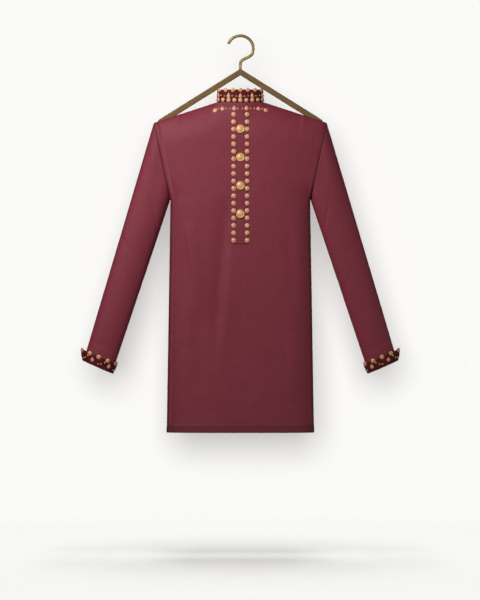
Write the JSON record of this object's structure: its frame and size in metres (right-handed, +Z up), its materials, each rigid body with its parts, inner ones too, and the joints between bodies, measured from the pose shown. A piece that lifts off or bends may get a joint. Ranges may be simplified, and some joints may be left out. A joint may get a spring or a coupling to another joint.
{
  "type": "kurta on a wooden hanger",
  "caption": "Long-sleeved kurta with a beaded band collar, buttoned placket and beaded cuffs, hanging open and hollow from a bar hanger with a wire hook.",
  "frame": {"origin": "the point under the crown of the hanger's hook where it rests on a rail", "axes": "+Z up, along the hanging garment; the front, with the placket and buttons, faces -Y; +X is to the right as seen from the front"},
  "size_m": [0.8944, 0.0965, 1.1154],
  "materials": {
    "body_cloth": "matt woven cloth with a faint sheen, maroon",
    "trim_cloth": "matt woven cloth, dark red, under gold beadwork",
    "gilt": "satin gilt, domed",
    "hanger_wood": "satin brown wood",
    "hook_wire": "aged brass wire, satin"
  },
  "bodies": {
    "root": {"front": "body_cloth", "back": "body_cloth", "placket": "body_cloth", "sleeve_left_front": "body_cloth", "sleeve_left_back": "body_cloth", "sleeve_right_front": "body_cloth", "sleeve_right_back": "body_cloth", "collar": "trim_cloth", "cuff_left": "trim_cloth", "cuff_right": "trim_cloth", "button_1": "gilt", "button_2": "gilt", "button_3": "gilt", "button_4": "gilt", "hanger_bar": "hanger_wood", "hanger_hook": "hook_wire"}
  },
  "joints": []
}
